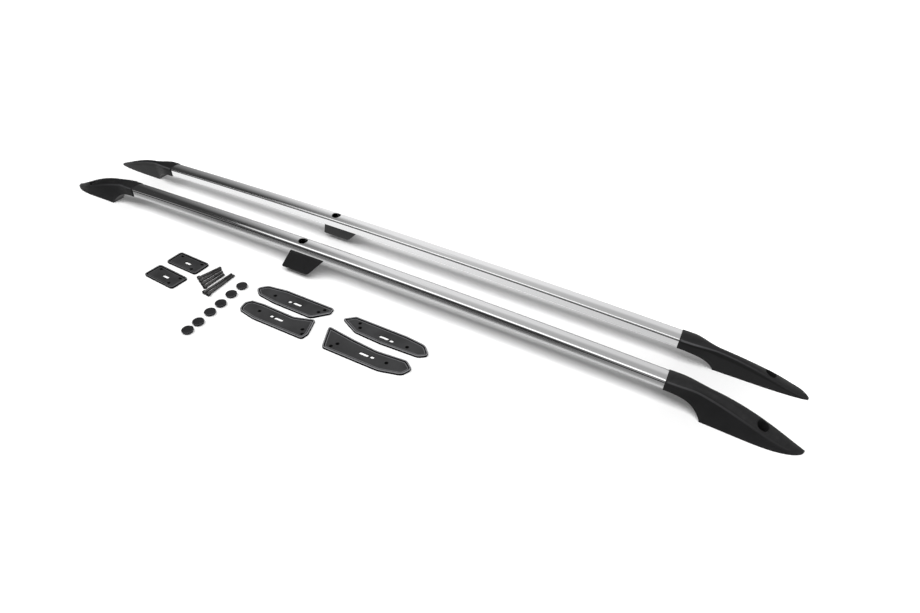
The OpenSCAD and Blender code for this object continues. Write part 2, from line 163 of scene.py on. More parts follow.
SCREWS_X = -336 * MM
SCREWS_Y = -168 * MM
SCREW_GAP = 12 * MM
# Direction in which each screw points, in degrees
SHORT_TURNS, LONG_TURNS = (78, 84, 86, 88), (88, 91)
SHORT_LEN = 55 * MM
LONG_LEN = 80 * MM
HEAD_R = 5 * MM
HEAD_H = 6 * MM
SCREW_R = 3 * MM
HEX_R = 2.5 * MM
THREAD_LEN = 28 * MM
THREAD_DEPTH = 0.55 * MM

BLACK, WHITE = (0, 0, 0, 1), (1, 1, 1, 1)
DUST = (0.35, 0.34, 0.33, 1)
# Painted shade for the floors of the rails' grooves
GROOVE_PAINTED_SHADE = (0.1, 0.1, 0.1, 1.0)
# What the node groups give varies mostly between these two values
NOISE_SPAN = (0.3, 0.7)

# Camera solved from the photograph
CAMERA_PLACE = (0.66136, -0.82866, 0.88516)
YAW_PITCH_ROLL = (24.76, 40.07, 3.23)
CAMERA_LENS = 23.73
CARD_HEIGHT = 1.4


# Surfaces: arrays of points and the quads between them


def quads(points, wrap=False):
    """Quads over a grid of points [u, v]; wrap joins the last v to the first."""
    nu, nv = points.shape[:2]
    index = np.arange(nu * nv).reshape(nu, nv)
    if wrap:
        index = np.hstack([index, index[:, :1]])
    faces = np.stack([index[:-1, :-1], index[1:, :-1], index[1:, 1:], index[:-1, 1:]], -1)
    return points.reshape(-1, 3), faces.reshape(-1, 4)


def without(part, shape, u, v):
    """Drops the quads of a grid part whose cells lie in the spans u and v."""
    points, faces = part
    cells = faces.reshape(shape[0] - 1, -1, 4)
    keep = np.ones(cells.shape[:2], bool)
    keep[u[0] : u[1], v[0] : v[1]] = False
    return points, cells[keep]


def smooth(t):
    """Eases from 0 to 1: 3t squared minus 2t cubed."""
    c = np.clip(t, 0, 1)
    return c * c * (3 - 2 * c)


def bend(a, corner, b, steps):
    """Quadratic curve from a to b that turns at corner: a(1-t)^2 + 2 corner t(1-t) + b t^2."""
    t = np.linspace(0, 1, steps)[:, None]
    return a[..., None, :] * (1 - t) ** 2 + 2 * corner[..., None, :] * t * (1 - t) + b[..., None, :] * t**2


def rounded(corners, steps=9):
    """Closed outline in metres from (x, y, radius) corners in mm: each corner becomes a quadratic curve."""
    c = np.array(corners, float)
    p, before, after = c[:, :2], np.roll(c[:, :2], 1, 0), np.roll(c[:, :2], -1, 0)
    la, lb = np.linalg.norm(before - p, axis=1), np.linalg.norm(after - p, axis=1)
    ua, ub = (before - p) / la[:, None], (after - p) / lb[:, None]
    half = np.arccos(np.clip((ua * ub).sum(1), -1, 1)) / 2
    reach = np.minimum(c[:, 2] / np.tan(half), np.minimum(la, lb) * 0.48)[:, None]
    return bend(p + ua * reach, p, p + ub * reach, steps).reshape(-1, 2) * MM


def circle(n, r, x=0.0, y=0.0):
    """Points on a circle: centre plus r times cosine and sine."""
    a = np.linspace(0, 2 * math.pi, n, endpoint=False)
    return np.stack([x + r * np.cos(a), y + r * np.sin(a)], -1)


def around(grid):
    """The points round the border of a grid, in order and without repeats."""
    return np.concatenate([grid[:-1, 0], grid[-1, :-1], grid[:0:-1, -1], grid[0, :0:-1]])


def hole_rings(border, x, y, r, rings):
    """Rings of (x, y) from a border to the circle of radius r at x, y, blended in eased steps."""
    a = np.arctan2(border[:, 1] - y, border[:, 0] - x)
    inner = np.stack([x + r * np.cos(a), y + r * np.sin(a)], -1)
    t = smooth(np.linspace(0, 1, rings + 1))[:, None, None]
    return border * (1 - t) + inner * t


def at_height(loop, z):
    """The (x, y) points of a loop at height z."""
    return np.column_stack([loop, np.full(len(loop), z)])


def band(loops):
    """Surface through loops of equal length."""
    return quads(np.stack(loops), wrap=True)


def stacked(stops):
    """Surface through level loops, each given with its height."""
    return band([at_height(loop, z) for loop, z in stops])


def lathe(profile, n, x=0.0, y=0.0):
    """Turns a profile of (radius, height) points about the vertical line through x, y."""
    return stacked([(circle(n, 1.0) * r + [x, y], z) for r, z in profile])


def closed(loop):
    """Closes a loop whose points mirror about its middle with quads across it."""
    n = len(loop) // 2
    return quads(np.stack([loop[:n], loop[::-1][:n]]))


def clear_marks(parts):
    """Marks of 0 for every point of the parts."""
    return [np.zeros(len(points)) for points, _ in parts]


def moved(part, change):
    """The part with its points put through a function."""
    points, faces = part
    return change(points), faces


def near_side(points):
    """Places points given from the near rail's middle."""
    return points + [FRAME_X, NEAR_Y, 0]


def far_side(points):
    """Mirrors points given from the near rail's middle across to the far rail."""
    return points * [1, -1, 1] + [FRAME_X, NEAR_Y + PAIR_GAP, 0]


def make_piece(name, parts, material, nodes, sharp=35, marks=None):
    """Joins parts into one welded mesh with outward faces that stands for the CAD nodes."""
    points, faces, base = [], [], 0
    for p, f in parts:
        points.append(p)
        faces += (f + base).tolist()
        base += len(p)
    mesh = bpy.data.meshes.new(name)
    mesh.from_pydata(np.concatenate(points).tolist(), [], faces)
    if marks is not None:
        layer = mesh.attributes.new("mark", "FLOAT", "POINT")
        layer.data.foreach_set("value", np.concatenate(marks).astype(np.float32))
    work = bmesh.new()
    work.from_mesh(mesh)
    bmesh.ops.remove_doubles(work, verts=work.verts, dist=2e-6)
    bmesh.ops.dissolve_degenerate(work, dist=1e-7, edges=work.edges)
    bmesh.ops.recalc_face_normals(work, faces=work.faces)
    work.to_mesh(mesh)
    work.free()
    mesh.shade_smooth()
    mesh.set_sharp_from_angle(angle=math.radians(sharp))
    mesh.materials.append(material)
    piece = bpy.data.objects.new(name, mesh)
    bpy.context.collection.objects.link(piece)
    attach(piece, "root")
    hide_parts(*nodes)
    return piece


# Rails


def dome(y, wall):
    """Height of the shallow dome at y, set in by wall: an arc through the two creases."""
    r = (RAIL_W**2 / 4 + RAIL_DOME**2) / (2 * RAIL_DOME) - wall
    return RAIL_SIDE + RAIL_DOME - wall - r + np.sqrt(r * r - y * y)


def rail_outline(wall, edge):
    """Section of the rail, set in by wall, as (y, height): dome, grooved sides, corners rounded by edge."""
    hw = RAIL_W / 2 - wall
    y = np.concatenate([
        np.linspace(-(hw - edge), -HOLE_PATCH, 4)[:-1],
        np.linspace(-HOLE_PATCH, HOLE_PATCH, 13),
        np.linspace(HOLE_PATCH, hw - edge, 4)[1:],
    ])
    over = np.stack([y, dome(y, wall)], -1)
    crease = np.array([hw, dome(hw, wall)])
    right = bend(over[-1], crease, crease - [0, edge], 7)[1:]
    foot = np.array([hw, wall])
    low = bend(foot + [0, edge], foot, foot - [edge, 0], 7)
    side = right[-1] + (low[0] - right[-1]) * np.linspace(0, 1, 6)[2:-1, None]
    halves = []
    for start, end in (GROOVE_IN, GROOVE_OUT):
        deep = hw - GROOVE_DEPTH
        cut = np.array([(hw, -start), (deep, -start), (deep, -end), (hw, -end)]) + [0, crease[1]]
        halves.append(np.concatenate([right, cut if wall == 0 else cut[[0, 3]], side, low]))
    under = np.stack([np.linspace(hw - edge, edge - hw, 9)[1:-1], np.full(7, wall)], -1)
    return np.concatenate([over, halves[0], under, halves[1][::-1] * [-1, 1]])


def along_bow(s, section):
    """Carries (y, height) points along the bow: x is (R + height) sin(s / R), z the matching cosine."""
    angle = (s / BOW_R)[..., None] if section.ndim == 2 else s / BOW_R
    y, h = section[..., 0], section[..., 1]
    x = (BOW_R + h) * np.sin(angle)
    z = RAIL_Z + RAIL_BOW - BOW_R + (BOW_R + h) * np.cos(angle)
    return np.stack([x, np.broadcast_to(y, x.shape), z], -1)


def rail_parts(edge):
    """Outer and inner skins of the extrusion, its end rings and the round hole in its top."""
    half = BOW_R * math.asin((RAIL_LEN / 2 + RAIL_INSERT) / BOW_R)
    hole = BOW_R * math.asin(HOLE_X / (BOW_R + RAIL_SIDE + RAIL_DOME))
    s = np.concatenate([
        np.linspace(-half, hole - HOLE_PATCH, 61),
        np.linspace(hole - HOLE_PATCH, hole + HOLE_PATCH, 13)[1:-1],
        np.linspace(hole + HOLE_PATCH, half, 91),
    ])
    (s0, s1), (o0, o1) = HOLE_CELLS
    parts, marks, loops, ends = [], [], [], []
    for wall, radius in ((0.0, edge), (RAIL_WALL, edge * 0.6)):
        outline = rail_outline(wall, radius)
        skin = along_bow(s, outline)
        # The grooves' floors, marked -1 for painted shade; other points as far out lie on the rounded corners
        deep = np.isclose(np.abs(outline[:, 0]), RAIL_W / 2 - GROOVE_DEPTH) & (wall == 0)
        on_side = np.abs(outline[:, 1] - RAIL_SIDE / 2) < 8.8 * MM
        marks.append(np.tile((deep & on_side) * -1.0, len(s)))
        parts.append(without(quads(skin, wrap=True), skin.shape, *HOLE_CELLS))
        ends.append(skin[[0, -1]])
        cells = np.stack(np.meshgrid(s[s0 : s1 + 1], outline[o0 : o1 + 1, 0], indexing="ij"), -1)
        rings = hole_rings(around(cells), hole, 0, HOLE_R, 6)
        collar = along_bow(rings[..., 0], np.stack([rings[..., 1], dome(rings[..., 1], wall)], -1))
        parts.append(quads(collar, wrap=True))
        marks.append(np.zeros(collar[..., 0].size))
        loops.append(collar[-1])
    parts.append(band(loops))
    for a, b in zip(*ends):
        parts.append(band([a, b[matching(a, b)]]))
    return parts, marks + clear_marks(parts[len(marks) :])


def matching(a, b):
    """For each point of loop a, the index of loop b's point at the same share of the way round."""
    def share(loop):
        step = np.linalg.norm(np.diff(loop, axis=0), axis=1)
        return np.concatenate([[0], np.cumsum(step)]) / step.sum()
    return np.searchsorted(share(b), share(a) - 1e-6).clip(0, len(b) - 1)


# End feet; form is the reach and flare of a foot


def closing(s, start):
    """Falls from 1 at the share start to 0 at the tip, as a quarter of an ellipse."""
    e = np.maximum(s - start, 0) / (1 - start)
    return np.sqrt(np.maximum(1 - e * e, 0))


def foot_edges(x, form, w):
    """Outer and inner base edges, heights of both ridges and the blend from neck to blade, set in by w."""
    reach, flare = form
    s = x / reach
    outer = -(FOOT_OUT + flare * smooth((s - FLARE_FROM) / FLARE_OVER))
    outer = -TIP_OUT + (outer + TIP_OUT) * closing(s, CLOSE_OUT) + w
    inner = -TIP_OUT + (FOOT_IN + TIP_OUT) * closing(s, CLOSE_IN) - w
    crease = RAIL_Z + RAIL_SIDE + COLLAR / 2
    fall = np.maximum(np.cos(math.pi / 2 * s ** FALL_POWERS[0]), 0) ** FALL_POWERS[1]
    high = TIP_LIP + (crease - TIP_LIP) * fall - w
    k = smooth((s - BLEND_FROM) / BLEND_OVER)
    return outer, inner, high - RIDGE_DROP * smooth((1 - s) / TIP_FADE) * k * np.sin(math.pi * s), high, k


def neck_under(x):
    """Height of the arch under the neck: full by the joint, zero where the blade meets the floor."""
    t = np.minimum(x / NECK_LEN, 1)
    return (RAIL_Z - COLLAR) * np.maximum(1 - t ** ARCH_POWERS[0], 0) ** ARCH_POWERS[1]


def foot_corners(x, form, w, floor):
    """The four corners of the foot's section at x as (y, z): bottom outer, ridge outer, ridge inner, bottom inner."""
    outer, inner, zo, zi, k = foot_edges(x, form, w)
    hw = RAIL_W / 2 + COLLAR - w
    zb = np.maximum(neck_under(x), 0) if floor is None else np.full_like(x, floor)
    tip = smooth((1 - x / form[0]) / TIP_FADE)
    low = np.maximum(zb, 0)

    def corner(a, b, z):
        return np.stack([a + (b - a) * k, z], -1)

    return (
        corner(-hw, outer + LEAN_OUT * low, zb), corner(-hw, outer + LEAN_OUT * zo * tip, zo),
        corner(hw, inner + LEAN_IN * zi * tip, zi), corner(hw, inner + LEAN_IN * low, zb),
    )


def crown(a, b, t, rise):
    """Arc from a to b: straight chord plus 4 rise t(1 - t) in height."""
    p = a[..., None, :] + (b - a)[..., None, :] * t[..., None]
    p[..., 1] += rise[..., None] * 4 * t * (1 - t)
    return p


def crown_rise(x, reach):
    """Rise of the crown over the ridges, falling to a quarter at the tip."""
    return (RAIL_DOME + COLLAR / 2) * (1 - 0.75 * (x / reach) ** 3)


CROWN_T = np.linspace(0.1, 0.9, 17)


def foot_section(x, form, w, floor, edge, hollow):
    """Closed section points [station, point]: outer wall drawn in by hollow, ridges rounded over the height edge."""
    bo, ro, ri, bi = foot_corners(x, form, w, floor)
    over = crown(ro, ri, np.broadcast_to(CROWN_T, (len(x), 17)), crown_rise(x, form[0]))
    height = (ro - bo)[:, 1:]
    drop = np.minimum(edge, 0.3 * height + 1e-5) / np.maximum(height, 1e-5)
    lo, li = ro + (bo - ro) * drop, ri + (bi - ri) * drop
    t = np.linspace(0, 1, 13)[:, None]
    wall_o = bo[:, None] * (1 - t) + lo[:, None] * t
    wall_i = bi[:, None] * (1 - t) + li[:, None] * t
    s = x / form[0]
    k = smooth(s / 0.35) * smooth((1 - s) / 0.2)
    wall_o[..., 0] += hollow * k[:, None] * np.sin(math.pi * t[:, 0])
    turn_o = bend(lo, ro, over[:, 0], 7)
    turn_i = bend(over[:, -1], ri, li, 7)
    return np.concatenate([wall_o[:, :-1], turn_o[:, :-1], over, turn_i[:, 1:], wall_i[:, -2::-1]], 1)


def with_x(x, section):
    """Puts the station's x in front of its (y, z) points."""
    return np.concatenate([np.broadcast_to(x[:, None, None], section.shape[:2] + (1,)), section], -1)


def roof_height(x, y, form, w):
    """Height of the blade's top at x, y, set in by w: the chord between the ridges plus the crown."""
    _, ro, ri, _ = foot_corners(x, form, w, 0.0)
    t = (y - ro[:, 0]) / (ri - ro)[:, 0]
    return ro[:, 1] + (ri - ro)[:, 1] * t + crown_rise(x, form[0]) * 4 * t * (1 - t)


def foot_parts(reach, flare, well_back, edge, hollow):
    """Moulded shell: outer form, hollow inside, base rim, screw well with its boss, and ribs."""
    form = (reach, flare)
    wx = reach - well_back
    wy = (FOOT_IN - FOOT_OUT - flare) / 2 + WELL_SHIFT
    boss_r = WELL_R + FOOT_WALL
    span = boss_r + 1.2 * MM
    neck = NECK_LEN * np.sin(np.linspace(0, math.pi / 2, 25))
    blade = np.concatenate([
        np.linspace(NECK_LEN, wx - span, 22)[1:],
        np.linspace(wx - span, wx + span, 15)[1:],
        wx + span + (reach - 0.35 * MM - wx - span) * np.sin(np.linspace(0, math.pi / 2, 22))[1:],
    ])
    x = np.concatenate([neck, blade])
    well = (len(neck) + 21, len(neck) + 35)
    skin = with_x(x, foot_section(x, form, 0.0, None, edge, hollow))
    lip = skin[:1].copy()
    middle = np.array([0, 0, RAIL_Z + RAIL_SIDE / 2])
    lip[..., 1:] += (middle - lip)[..., 1:] / 18 * 0.6
    skin[0, :, 0] += 0.8 * MM
    skin = np.concatenate([lip, skin])
    first, last = WALL_POINTS, skin.shape[1] - WALL_POINTS - 1
    parts = [without(quads(skin), skin.shape, well, (first, last)), closed(skin[0])]
    near_joint = 1 - 0.85 * smooth(skin[:, :1, 0] / reach / 0.8)
    # Painted highlights on both ridges, fading from the joint towards the tip, and painted shade along the line under
    # the inner ridge
    mark = np.zeros(skin.shape[:2])
    mark[:, OUTER_RIDGE] = 0.55 * near_joint
    mark[:, INNER_RIDGE] = near_joint
    mark[:, UNDER_RIDGE] = -1
    mark[:2] = 0
    open_from = len(neck)
    parts.append(quads(np.stack([skin[: open_from + 1, 0], skin[: open_from + 1, -1]], 1)))

    share = (x[open_from - 1 :] - NECK_LEN) / (x[-1] - NECK_LEN)
    inner_x = NECK_LEN + FOOT_WALL + (reach * 0.9 - NECK_LEN - FOOT_WALL) * share
    room = with_x(inner_x, foot_section(inner_x, form, FOOT_WALL, 0.0, edge * 0.5, 0.0))
    iw = (np.searchsorted(inner_x, wx - span) - 1, np.searchsorted(inner_x, wx + span) + 1)
    parts += [without(quads(room), room.shape, iw, (first, last)), closed(room[0]), closed(room[-1])]

    across = np.linspace(0, 1, 9)[:, None]
    outer_loop = np.concatenate([
        skin[open_from, -1] + (skin[open_from, 0] - skin[open_from, -1]) * across,
        skin[open_from + 1 :, 0],
        np.repeat(skin[-1:, 0], 5, 0),
        skin[open_from + 1 :, -1][::-1],
    ])
    inner_loop = np.concatenate([
        room[0, -1] + (room[0, 0] - room[0, -1]) * across,
        room[1:, 0],
        room[-1, 0] + (room[-1, -1] - room[-1, 0]) * np.linspace(0, 1, 5)[:, None],
        room[1:, -1][::-1],
    ])
    parts.append(band([outer_loop, inner_loop]))
    parts.append(closed(skin[-1]))

    def roof(cells, r, rings, w):
        """Part of the blade's top, set in by w, from the border of some cells to a circle round the well."""
        xy = hole_rings(around(cells)[:, :2], wx, wy, r, rings)
        z = roof_height(xy[..., 0].ravel(), xy[..., 1].ravel(), form, w)
        return np.concatenate([xy, z.reshape(xy.shape[:-1] + (1,))], -1)

    def held(points):
        """Keeps points from coming out through the inner wall."""
        _, _, ri, bi = foot_corners(points[..., 0].ravel(), form, 0.0, 0.0)
        t = (points[..., 2].ravel() - bi[:, 1]) / (ri - bi)[:, 1]
        inner = bi[:, 0] + (ri - bi)[:, 0] * np.clip(t, 0, 1) - 0.2 * MM
        points[..., 1] = np.minimum(points[..., 1], inner.reshape(points.shape[:-1]))
        return points

    top = roof(skin[well[0] : well[1] + 1, first : last + 1], WELL_R, 7, 0.0)
    ceiling = roof(room[iw[0] : iw[1] + 1, first : last + 1], boss_r, 5, FOOT_WALL)
    held(ceiling)
    brim = top[-1].copy()
    brim[:, 2] -= 0.7 * MM
    top[-1, :, :2] += (top[-1, :, :2] - [wx, wy]) * 0.06
    parts += [quads(top, wrap=True), quads(ceiling, wrap=True)]

    def down(loop, stops):
        """Carries a loop round the well down through (radius, height) stops."""
        rings = [loop]
        for r, z in stops:
            flat = loop.copy()
            d = loop[:, :2] - [wx, wy]
            flat[:, :2] = [wx, wy] + d / np.linalg.norm(d, axis=1)[:, None] * r
            flat[:, 2] = z
            rings.append(held(flat))
        return band(rings)

    parts.append(band([top[-1], brim]))
    parts.append(down(brim, [(WELL_R, WELL_FLOOR), (SCREW_HOLE_R, WELL_FLOOR), (SCREW_HOLE_R, 0)]))
    parts.append(down(ceiling[-1], [(boss_r, 0), (SCREW_HOLE_R, 0)]))
    for rib in (30 * MM, 62 * MM):
        parts += rib_across(NECK_LEN + rib, form)
    parts += rib_along(NECK_LEN + 1 * MM, wx - boss_r + 1 * MM, wy, form)
    return parts, [mark.ravel()] + clear_marks(parts[1:])


def rib_across(x, form):
    """Thin web across the hollow at x whose top follows the roof."""
    xs = np.array([x, x + 2.4 * MM])
    bo, ro, ri, bi = foot_corners(xs, form, FOOT_WALL, 0.0)
    t = np.linspace(0, 1, 13)
    roof = crown(ro, ri, np.broadcast_to(t, (2, 13)), crown_rise(xs, form[0])) + [0, 0.8 * MM]
    floor = bo[:, None] + (bi - bo)[:, None] * t[:, None]
    loop = with_x(xs, np.concatenate([floor, roof[:, ::-1]], 1))
    return [quads(loop, wrap=True)] + [quads(np.stack([l[:13], l[:12:-1]])) for l in loop]


def rib_along(x0, x1, y, form):
    """Thin web along the hollow whose top follows the roof."""
    xs = np.linspace(x0, x1, 15)
    loops = []
    for side in (-1.2 * MM, 1.2 * MM):
        z = roof_height(xs, y + side, form, FOOT_WALL) + 0.8 * MM
        loops += [np.stack([xs, np.full(15, y + side), h], -1) for h in (np.full(15, 4 * MM), z)]
    a, b, c, d = loops
    ring = np.stack([a, b, d, c], 1)
    return [quads(ring, wrap=True)] + [quads(np.stack([r[:2], r[:1:-1]])) for r in ring[[0, -1]]]


# Centre feet


def box_loop(length, width, x, y, z, r, steps=7):
    """Rounded rectangle of 4 * steps points at height z."""
    flat = rounded([(a * length / 2 / MM, b * width / 2 / MM, r / MM) for a, b in BOX_CORNERS], steps)
    return at_height(flat + [x, y], z)


def centre_parts(edge):
    """Hollow block that flares from under the rail to its wider, offset base, with screw bosses inside."""
    top_z = RAIL_Z + RAIL_BOW - BOW_R + math.sqrt(BOW_R**2 - HOLE_X**2) - 0.25 * MM
    form_top = top_z + 3 * MM

    def ring(z, w):
        k = (z - CENTRE_BASE_Z) / (form_top - CENTRE_BASE_Z)
        length, width, shift = (b + (t - b) * k for b, t in zip(CENTRE_BASE, CENTRE_TOP))
        radius = 4.5 * MM * (1 - k) + 1.2 * MM
        return box_loop(length - 2 * w, width - 2 * w, HOLE_X + shift, -CENTRE_OFFSET * (1 - k), z, radius)

    z = np.linspace(CENTRE_BASE_Z + edge, top_z - edge, 14)
    outer = [ring(CENTRE_BASE_Z, edge * 0.7)] + [ring(h, 0) for h in z] + [ring(top_z, edge * 0.5)]
    plate = top_z - 5 * MM
    inner = [ring(h, CENTRE_WALL) for h in (CENTRE_BASE_Z, *np.linspace(CENTRE_BASE_Z + edge, plate, 6))]
    parts = [band(inner[::-1] + outer), closed(outer[-1]), closed(inner[-1])]
    for dx, r, bore in ((0, 6.3 * MM, SCREW_HOLE_R), (-20 * MM, 7 * MM, 4.5 * MM), (24 * MM, 7 * MM, 4.5 * MM)):
        low, high = CENTRE_BASE_Z + 2 * MM, plate - 1 * MM
        tube = [(r, plate + 1 * MM), (r, low), (bore, low), (bore, high), (0, high)]
        parts.append(lathe(tube, 40, HOLE_X + dx, -1 * MM))
    return parts


# Pads


def evenly(outline, spacing):
    """Closed outline sampled again at even spacing along its length."""
    loop = np.concatenate([outline, outline[:1]])
    along = np.concatenate([[0], np.cumsum(np.linalg.norm(np.diff(loop, axis=0), axis=1))])
    at = np.linspace(0, along[-1], int(along[-1] / spacing), endpoint=False)
    return np.stack([np.interp(at, along, loop[:, 0]), np.interp(at, along, loop[:, 1])], -1)


def set_in(outline, d):
    """Outline moved inwards by d; points that would come closer than d to the outline take a neighbour's place."""
    t = np.roll(outline, -1, 0) - np.roll(outline, 1, 0)
    t /= np.linalg.norm(t, axis=1)[:, None]
    inner = outline + d * np.stack([t[:, 1], -t[:, 0]], -1)
    gap = np.linalg.norm(inner[:, None] - outline[None], axis=2).min(1)
    kept = np.flatnonzero(gap >= 0.96 * d)
    i = np.arange(len(outline))[:, None]
    apart = np.abs(i - kept)
    return inner[kept[np.minimum(apart, len(outline) - apart).argmin(1)]]


def oblong(x, y, length, width, steps=12):
    """Slot outline with round ends, along X."""
    a = np.linspace(-math.pi / 2, math.pi / 2, steps)
    end = np.stack([np.cos(a), np.sin(a)], -1) * width / 2
    shift = np.array([(length - width) / 2, 0])
    return np.concatenate([end + shift, -end - shift]) + [x, y]


def plate_parts(outline, slots, pegs):
    """Rimmed plate: rim and lip carried round the outline, flat faces cut by the slots, dished blind peg holes."""
    outline = evenly(outline, 1.5 * MM)
    rim = [(set_in(outline, d * MM), z * MM) for d, z, m in PAD_RIM]
    parts = [stacked(rim)]
    marks = [np.repeat([m for d, z, m in PAD_RIM], len(outline))]

    def grown(loop, by):
        d = loop - loop.mean(0)
        return loop + d / np.linalg.norm(d, axis=1)[:, None] * by

    bevel, dish, shallow, bottom = 0.35 * MM, 2 * MM, 0.5 * MM, 0.5 * MM
    over = [grown(h, bevel) for h in slots] + [grown(h, dish) for h in pegs]
    for loop, z, holes in ((rim[-1][0], PAD_T, over), (rim[0][0], 0.0, slots)):
        fresh = np.linalg.norm(loop - np.roll(loop, 1, 0), axis=1) > 1e-6
        rings = [[Vector((*p, 0)) for p in ring] for ring in (loop[fresh], *holes)]
        faces = np.array(tessellate_polygon(rings))
        parts.append((at_height([p[:2] for ring in rings for p in ring], z), faces))
    for h in slots:
        parts.append(stacked([(grown(h, bevel), PAD_T), (h, PAD_T - bevel), (h, 0)]))
    marks += clear_marks(parts[1:])
    for h in pegs:
        slope = [(grown(h, dish), PAD_T), (grown(h, dish * 0.7), PAD_T - shallow), (h, PAD_T - 0.8 * MM)]
        parts.append(stacked(slope + [(h, bottom), (h * 0 + h.mean(0), bottom)]))
        # Painted shade down the dished peg holes
        marks.append(np.repeat([0.0, -0.8, -1, -1, -1], len(h)))
    return parts, marks


# Screws


def screw_parts(length, pitch):
    """Socket-head screw along +Z, head at the origin: ribbed head, hexagon socket, plain shank and rolled thread."""
    n = 96
    a = np.linspace(0, 2 * math.pi, n, endpoint=False)
    ring = circle(n, 1.0)
    hexagon = HEX_R / np.cos((a + math.pi / 6) % (math.pi / 3) - math.pi / 6)
    ribbed = HEAD_R - 0.12 * MM * (0.5 + 0.5 * np.cos(32 * a))
    end = HEAD_H + length
    thread_from = end - THREAD_LEN
    rings = [
        (0, 3.1 * MM), (hexagon * 0.96, 3.1 * MM), (hexagon, 3.0 * MM), (hexagon, 0.25 * MM), (hexagon + 0.3 * MM, 0),
        (4.3 * MM, 0), (4.75 * MM, 0.12 * MM), (HEAD_R - 0.1 * MM, 0.5 * MM), (ribbed, 0.8 * MM), (ribbed, 5.6 * MM),
        (HEAD_R - 0.25 * MM, HEAD_H), (3.4 * MM, HEAD_H), (SCREW_R, 6.4 * MM), (SCREW_R, thread_from - 0.6 * MM),
    ]
    for z in np.arange(thread_from, end - 0.9 * MM, pitch / 8):
        phase = (z / pitch - a / (2 * math.pi)) % 1.0
        cut = np.clip(1 - np.abs(phase - 0.5) * 2.6, 0, 1)
        rings.append((SCREW_R - THREAD_DEPTH * cut * smooth((z - thread_from) / pitch + 0.1), z))
    rings += [(2.1 * MM, end), (0, end)]
    return stacked([(ring * np.broadcast_to(r, n)[:, None], z) for r, z in rings])


def lay_down(length, turn, x, y):
    """Function that lays a screw on the rim of its head and the end of its thread."""
    drop = math.asin((HEAD_R - SCREW_R) / (length + HEAD_H))
    place = (
        Matrix.Translation((FRAME_X + x, NEAR_Y + y, HEAD_R * math.cos(drop)))
        @ Matrix.Rotation(math.radians(turn - 90), 4, "Z")
        @ Matrix.Rotation(-math.pi / 2 - drop, 4, "X")
    )
    m = np.array(place)
    return lambda p: p @ m[:3, :3].T + m[:3, 3]


# Materials


def put(tree, socket, value):
    """Links a socket to another's output, or sets it to a number or colour."""
    if isinstance(value, bpy.types.NodeSocket):
        tree.links.new(value, socket)
    else:
        socket.default_value = value


def feed(tree, node, **settings):
    """Sets a node's attributes and inputs by name, with _ for a space, and gives the node back."""
    for key, value in settings.items():
        if hasattr(node, key):
            setattr(node, key, value)
        else:
            put(tree, node.inputs[key.replace("_", " ")], value)
    return node


def add(tree, kind, **settings):
    """New shader node with its attributes and inputs set."""
    return feed(tree, tree.nodes.new("ShaderNode" + kind), **settings)


def combine(tree, operation, *values):
    """One value from two or three by a math operation."""
    node = add(tree, "Math", operation=operation)
    for socket, value in zip(node.inputs, values):
        put(tree, socket, value)
    return node.outputs[0]


def mix(tree, factor, a, b, kind="RGBA"):
    """Mixes two colours, or two numbers where kind is FLOAT."""
    node = add(tree, "Mix", data_type=kind)
    first, result = (6, 2) if kind == "RGBA" else (2, 0)
    for i, value in ((0, factor), (first, a), (first + 1, b)):
        put(tree, node.inputs[i], value)
    return node.outputs[result]


def span(tree, value, low, high, start=0.0, end=1.0, kind="LINEAR"):
    """Goes from low to high as a value goes from start to end."""
    ends = {"From_Min": start, "From_Max": end, "To_Min": low, "To_Max": high}
    return add(tree, "MapRange", interpolation_type=kind, Value=value, **ends).outputs["Result"]


def step(tree, value, low, high, start, end, kind="SMOOTHSTEP"):
    """Like span, and eases in and out."""
    return span(tree, value, low, high, start, end, kind)


def ramp(tree, where, axis, *steps):
    """Steps with one coordinate of a vector."""
    return step(tree, add(tree, "SeparateXYZ", Vector=where).outputs[axis], *steps)


def bump(tree, height, strength, distance):
    """Normal that follows a height."""
    return add(tree, "Bump", Strength=strength, Distance=distance, Height=height).outputs["Normal"]


def node_group(name, sizes, outputs):
    """New shader group from Vector and named numbers to numbers, with what it is given and its output node."""
    group = bpy.data.node_groups.new(name, "ShaderNodeTree")
    group.interface.new_socket("Vector", in_out="INPUT", socket_type="NodeSocketVector")
    for label, default in sizes.items():
        socket = group.interface.new_socket(label, in_out="INPUT", socket_type="NodeSocketFloat")
        socket.default_value = default
    for label in outputs:
        group.interface.new_socket(label, in_out="OUTPUT", socket_type="NodeSocketFloat")
    return group, group.nodes.new("NodeGroupInput").outputs, group.nodes.new("NodeGroupOutput")


def speckle_group():
    """Moulded grain: fine noise and soft patches, as a height and a tone around 0.5."""
    group, given, out = node_group("moulded_grain", {"Size": 1500.0, "Patch": 14.0}, ["Height", "Tone"])
    where, size = given["Vector"], given["Size"]
    fine = add(group, "TexNoise", Detail=3.0, Roughness=0.6, Vector=where, Scale=size)
    broad = add(group, "TexNoise", Detail=4.0, Roughness=0.55, Vector=where, Scale=given["Patch"])
    cells = add(group, "TexVoronoi", feature="SMOOTH_F1", Vector=where, Scale=size)
    height = combine(group, "MULTIPLY_ADD", cells.outputs["Distance"], 0.6, fine.outputs["Fac"])
    feed(group, out, Height=height, Tone=broad.outputs["Fac"])
    return group


def dust_group():
    """Light dust on faces that look up, broken up by noise, as a mask."""
    group, given, out = node_group("settled_dust", {"Amount": 0.1}, ["Mask"])
    normal = add(group, "SeparateXYZ", Vector=add(group, "NewGeometry").outputs["Normal"])
    noise = add(group, "TexNoise", Scale=90.0, Detail=5.0, Roughness=0.7, Vector=given["Vector"])
    up = span(group, normal.outputs["Z"], 0.0, 1.0, 0.3)
    patches = span(group, noise.outputs["Fac"], 0.0, 1.0, 0.42, 0.7)
    settled = combine(group, "MULTIPLY", up, patches)
    feed(group, out, Mask=combine(group, "MULTIPLY", settled, given["Amount"]))
    return group


